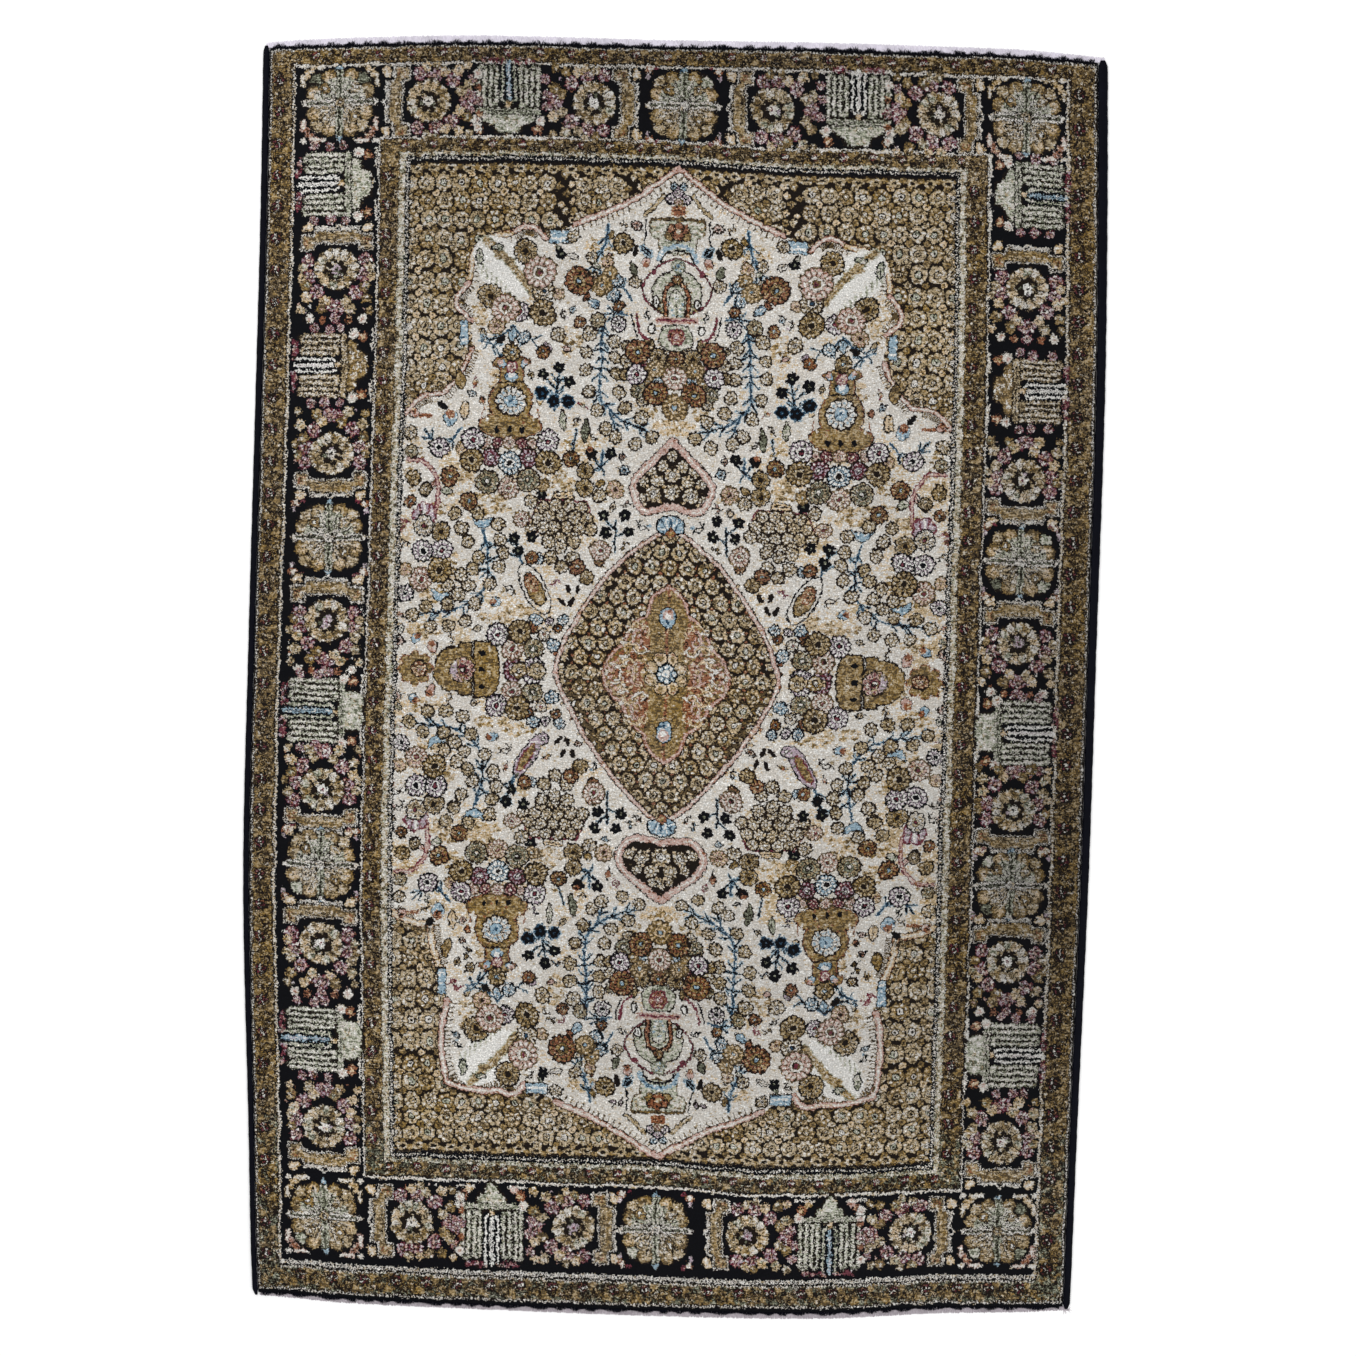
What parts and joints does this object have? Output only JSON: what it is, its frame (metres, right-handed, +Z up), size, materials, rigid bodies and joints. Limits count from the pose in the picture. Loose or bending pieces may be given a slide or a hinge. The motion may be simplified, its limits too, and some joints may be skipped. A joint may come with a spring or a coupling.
{
  "type": "silk rug",
  "caption": "Flat hand-knotted silk rug with a medallion field, flowered borders, overcast side cords and short flat-woven ends.",
  "frame": {"origin": "centre of the rug's bounding box, on the floor that it lies on", "axes": "+Y along the rug's long side towards its top end, +X to the right across it, +Z up out of the pile"},
  "size_m": [1.2399, 1.8423, 0.005],
  "materials": {
    "silk_pile": "knotted silk pile, soft sheen, patterned in navy, ochre, ivory, green and rose",
    "selvedge_silk": "navy overcast yarn, low sheen",
    "warp_silk": "pale lilac-grey ribbed flatweave of undyed warps"
  },
  "bodies": {
    "root": {"rug_body": "silk_pile", "selvedge_left": "selvedge_silk", "selvedge_right": "selvedge_silk", "end_band_top": "warp_silk", "end_band_bottom": "warp_silk"}
  },
  "joints": []
}
